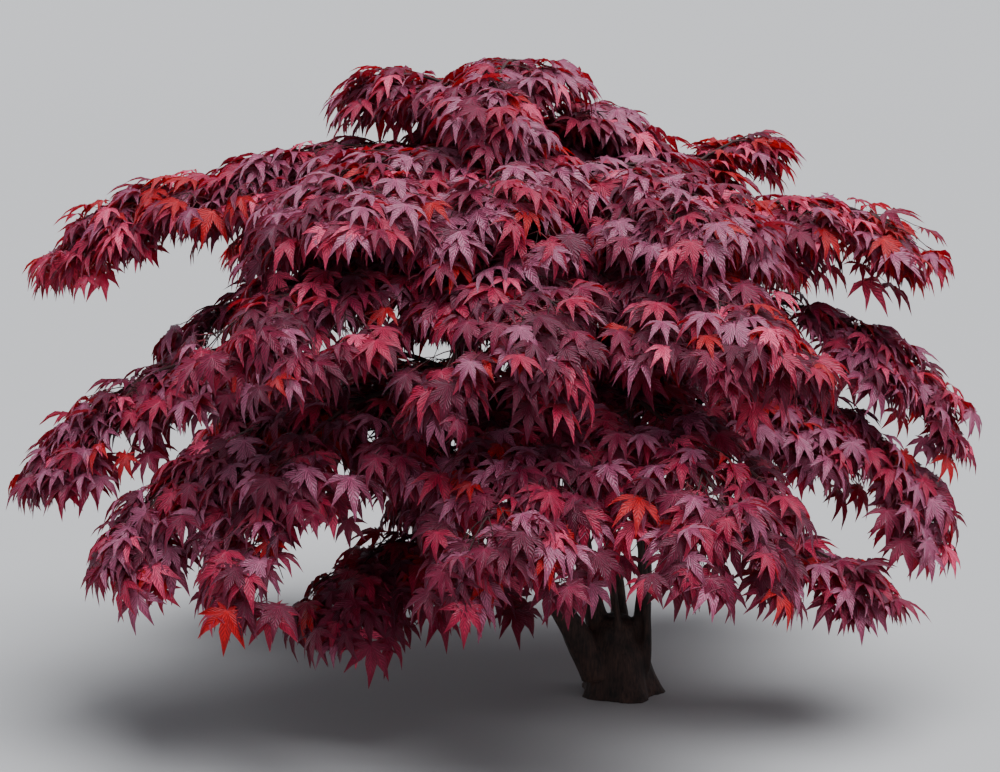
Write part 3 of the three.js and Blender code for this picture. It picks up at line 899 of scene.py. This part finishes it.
GAP_PLACES, GAP_SIZES = np.split(np.array(SKY_GAPS, float), 2, axis=1)


def closes_gap(blade):
    """True if a leaf would close one of the gaps through which the ground shows."""
    spots = np.stack(in_picture(blade), axis=1)[:, None]
    return ((((spots - GAP_PLACES) / GAP_SIZES) ** 2).sum(axis=2) < 1).any()


LOW_END, HIGH_END = (np.array(end) / MM for end in solid_bounds)


def tier_of(spray):
    return spray["name"].split("_")[0]


def leaf_kind(spray, random):
    """Which leaf colour goes here: pale plum with painted sheen where light falls, maroon as painted shade
    where it falls less, and red or rose in young tips.
    """
    pick = next(random)
    young = YOUNG.get(spray["name"], YOUNG_ELSEWHERE)
    if pick < young * RED_AMONG_YOUNG:
        return RED_LEAF
    if pick < young:
        return ROSE_LEAF
    if pick < young + CRIMSON_SHARE:
        return CRIMSON_LEAF
    if pick < young + CRIMSON_OR_WINE_SHARE:
        return WINE_LEAF
    # Painted light: the plum share is high where light falls and low where shade falls, and maroon takes the
    # rest.
    plum = PLUM_BY_SPRAY_AS_PAINTED_LIGHT.get(spray["name"], PLUM_BY_TIER_AS_PAINTED_LIGHT[tier_of(spray)])
    return PAINTED_SHEEN_PLUM_LEAF if next(random) < plum else MAROON_LEAF


def group_of(spray):
    """The piece that a spray's leaves go into, by tier and side."""
    side = "left" if LEFT_SIDE[0] < spray["bearing"] < LEFT_SIDE[1] else "right"
    return f"leaves_{tier_of(spray)}_{side}"


class Foliage:
    """All the leaves, stalks and fine twigs, the leaves gathered by tier and side."""

    def __init__(self):
        shapes = seeded(LEAF_SEED)
        self.shapes = [leaf_shape(shapes) for _ in range(LEAF_KINDS)]
        self.leaves, self.twigs, self.stalks = {}, Pile(), Pile()

    def twig(self, arch, radii, points, sides):
        self.twigs.add(*thinning_tube(arch, radii, points, sides))

    def leaf(self, spray, node, bearing, pitch, random):
        """A leaf on its stalk from a node, unless it leaves the crown's box or closes a gap in it."""
        climb = pitch * STALK_PITCH_SHARE + STALK_CLIMB + about(random, STALK_CLIMB_SPREAD)
        heading = bearing + about(random, STALK_TURN_SPREAD)
        droop = between(random, STALK_DROOP)
        stalk = Arch(node, heading, climb, droop, between(random, STALK_LENGTH))
        middle = stalk.point(1)
        outward = math.degrees(math.atan2(middle[1], middle[0] - CROWN_AXIS_X))
        x, y, _ = aim(bearing, 0) + aim(outward, 0) * OUTWARD_PULL
        height_share = (middle[2] - LOW_END[2]) / (HIGH_END[2] - LOW_END[2])
        hang = lerp(LEAF_FALL_LOW, LEAF_FALL_TOP, height_share) * (FLAT_SHARE if spray["name"] in FLAT else 1)
        fall = hang + pitch * BLADE_PITCH_SHARE + about(random, BLADE_FALL_SPREAD)
        axis = aim(math.degrees(math.atan2(y, x)) + about(random, BLADE_TURN_SPREAD), fall)
        reach = between(random, LEAF_REACH)
        basis = turned(axis, math.radians(about(random, BLADE_ROLL_SPREAD))) * reach
        corners, faces, shades, reaches = self.shapes[int(next(random) * LEAF_KINDS)]
        blade = corners @ basis.T + middle
        kind = leaf_kind(spray, random)
        if (blade < LOW_END - PAST_LOW_END).any() or (blade > HIGH_END + PAST_HIGH_END).any():
            return
        if blade[:, 2].min() < ABOVE_GROUND or closes_gap(blade):
            return
        self.leaves.setdefault(group_of(spray), Pile()).add(blade, faces, kind, shades, reaches)
        self.stalks.add(*thinning_tube(stalk, *STALK_TUBE))

    def fine_twig(self, spray, parent, t, side, random):
        """A fine twig to one side of a shoot, with two pairs of leaves."""
        bearing = parent.bearing + side * between(random, FINE_ANGLE)
        pitch = parent.pitch_at(t) * FINE_PITCH_SHARE + FINE_RISE + about(random, FINE_RISE_SPREAD)
        length = between(random, FINE_LENGTH) * lerp(*FINE_LENGTH_TAPER, t)
        if spray["name"] in FLAT:
            length *= FLAT_TWIGS
        twig = Arch(parent.point(t), bearing, pitch, FINE_DROOP + about(random, FINE_DROOP_SPREAD), length)
        self.twig(twig, *FINE_TWIG_TUBE)
        for share, turn in FINE_LEAVES:
            self.leaf(spray, twig.point(share), bearing + turn, twig.pitch_at(share), random)

    def hanging_twig(self, spray, parent, t, random):
        """A twig that hangs under a deep spray, with leaves in pairs down its length."""
        length = HANGING[spray["name"]] * lerp(*HANGING_TAPER, t) * (1 + about(random, HANGING_LENGTH_SPREAD))
        heading = parent.bearing + about(random, HANGING_TURN_SPREAD)
        pitch = HANGING_PITCH + about(random, HANGING_PITCH_SPREAD)
        twig = Arch(parent.point(t), heading, pitch, HANGING_DROOP, length)
        self.twig(twig, *FINE_TWIG_TUBE)
        for share in HANGING_LEAF_SHARES:
            pitch = twig.pitch_at(share) * HANGING_LEAF_PITCH_SHARE
            for turn in HANGING_LEAF_TURNS:
                self.leaf(spray, twig.point(share), heading + turn, pitch, random)

    def dress(self, spray, parent, first, random):
        """Pairs of fine twigs along a shoot from a share of its length on, and leaves at its tip."""
        count = max(1, int(parent.length * (LAST_ON_SHOOT - first) / FINE_STEP))
        for index in range(count):
            t = lerp(first, LAST_ON_SHOOT, (index + FINE_OFFSET * next(random)) / count)
            for side in (-1, 1):
                self.fine_twig(spray, parent, t, side, random)
            self.leaf(spray, parent.point(t), parent.bearing + about(random, 360), CROWNING_PITCH, random)
            if spray["name"] in HANGING and index % 2 == 0:
                self.hanging_twig(spray, parent, t, random)
        for turn in TIP_LEAF_TURNS:
            self.leaf(spray, parent.point(1), parent.bearing + turn, parent.pitch_at(1), random)

    def clothe(self, spray, limb, first, random):
        """Leaves that stand on a limb from a share of its length on, and short shoots on both its sides."""
        for step in range(int(limb.length * (1 - first) / CROWNING_STEP)):
            foot = limb.point(first + (step + next(random)) * CROWNING_STEP / limb.length)
            self.leaf(spray, foot, 360 * next(random), CROWNING_PITCH, random)
        for shoot in inner_shoots(limb, first, random):
            self.twig(shoot, *INNER_SHOOT_TUBE)
            self.dress(spray, shoot, FIRST_ON_INNER_SHOOT, random)


def inner_shoots(limb, first, random):
    """Short shoots in pairs along a limb, from a share of its length on."""
    shoots = []
    count = max(1, int(limb.length * (LAST_INNER - first) / INNER_STEP))
    for index in range(count):
        t = lerp(first, LAST_INNER, (index + INNER_OFFSET * next(random)) / count)
        x, y, z = limb.tangent(t)
        bearing, pitch = math.degrees(math.atan2(y, x)), math.degrees(math.asin(z))
        for side in (-1, 1):
            heading = bearing + side * between(random, INNER_ANGLE)
            length = between(random, INNER_LENGTH)
            rise = pitch * INNER_PITCH_SHARE + about(random, INNER_RISE_SPREAD)
            shoots.append(Arch(limb.point(t), heading, rise, INNER_DROOP, length))
    return shoots


foliage = Foliage()
for index, spray in enumerate(SPRAYS):
    random = seeded(SPRAY_SEED + index)
    shoot = shoot_of(spray)
    foliage.twig(shoot, *SHOOT_TUBE)
    sides = side_shoots(spray, shoot, seeded(index + 1))
    for side in sides:
        foliage.twig(side, *SIDE_SHOOT_TUBE)
    foliage.dress(spray, shoot, FIRST_ON_SHOOT, random)
    for side in sides:
        foliage.dress(spray, side, FIRST_ON_SIDE_SHOOT, random)
for index, spray in enumerate(SPRAYS):
    random = seeded(LIMB_SEED + index)
    if spray["at"] < 1:
        foliage.clothe(spray, boughs[spray["name"]][0], BOUGH_SHOOTS_FROM, random)
    else:
        foliage.clothe(spray, stems[spray["stem"]][0], STEM_SHOOTS_FROM, random)

trunk_piece = wood_piece()
bough_piece = bough_pile().piece("boughs", [BARK])
twig_piece = foliage.twigs.piece("twigs", [TWIG])
stalk_piece = foliage.stalks.piece("leaf_stalks", [STALK])
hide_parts("trunk", *stems)
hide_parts(*(f"bough_{name}" for name in boughs))
for piece in (trunk_piece, bough_piece, twig_piece, stalk_piece):
    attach(piece, "root")
for group, pile in foliage.leaves.items():
    piece = pile.piece(group, LEAVES)
    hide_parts(*(f"foliage_{spray['name']}" for spray in SPRAYS if group_of(spray) == group))
    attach(piece, "root")


def floor_shape():
    """The corners and faces of the floor, in rings round its middle."""
    corners, faces = [(0, 0, 0)], []
    for ring in range(FLOOR_RINGS + 1):
        share = ring / FLOOR_RINGS
        radius, height = lerp(FLOOR_FLAT, FLOOR_RIM, share), FLOOR_RISE * share * share
        for side in range(FLOOR_SIDES):
            turn = 2 * math.pi * side / FLOOR_SIDES
            corners.append((radius * math.cos(turn), radius * math.sin(turn), height))
    for side in range(FLOOR_SIDES):
        beside = (side + 1) % FLOOR_SIDES
        faces.append((0, 1 + side, 1 + beside))
        for ring in range(FLOOR_RINGS):
            low, high = 1 + ring * FLOOR_SIDES, 1 + (ring + 1) * FLOOR_SIDES
            faces.append((low + side, high + side, high + beside, low + beside))
    return corners, faces


floor_mesh = bpy.data.meshes.new("floor")
corners, faces = floor_shape()
floor_mesh.from_pydata(corners, [], faces)
for face in floor_mesh.polygons:
    face.use_smooth = True
floor = bpy.data.objects.new("floor", floor_mesh)
bpy.context.scene.collection.objects.link(floor)
material, _, _, shader = new_material("floor")
shader.inputs["Base Color"].default_value = (0.35, 0.347, 0.345, 1)
shader.inputs["Roughness"].default_value = 0.9
floor_mesh.materials.append(material)

world = bpy.data.worlds.new("soft_sky")
world.use_nodes = True
world.node_tree.nodes["Background"].inputs["Color"].default_value = (0.86, 0.9, 1.0, 1)
world.node_tree.nodes["Background"].inputs["Strength"].default_value = 0.4
bpy.context.scene.world = world


def soft_light(name, place, target, size, power):
    lamp = bpy.data.lights.new(name, "AREA")
    lamp.shape = "DISK"
    lamp.size = size
    lamp.energy = power
    light = bpy.data.objects.new(name, lamp)
    light.location = place
    light.rotation_euler = (Vector(target) - Vector(place)).to_track_quat("-Z", "Y").to_euler()
    bpy.context.scene.collection.objects.link(light)


soft_light("front", place=(1.2, -4.6, 3.0), target=(-0.2, 0, 0.7), size=2.4, power=12)

sky = bpy.data.lights.new("soft_overhead", "SUN")
sky.angle = math.radians(60)
sky.energy = 7.0
sky.color = (0.94, 0.96, 1.0)
sky_light = bpy.data.objects.new("soft_overhead", sky)
sky_light.rotation_euler = (math.radians(8), math.radians(14), 0)
bpy.context.scene.collection.objects.link(sky_light)

lens = bpy.data.cameras.new("camera")
lens.sensor_width = SENSOR_WIDTH
lens.lens = FOCAL_PIXELS / PICTURE[0] * SENSOR_WIDTH
lens.clip_end = 4 * FLOOR_RIM
camera = bpy.data.objects.new("camera", lens)
camera.location = CAMERA_PLACE
camera.rotation_euler = (math.radians(90 - CAMERA_PITCH), 0, 0)
bpy.context.scene.collection.objects.link(camera)
bpy.context.scene.camera = camera
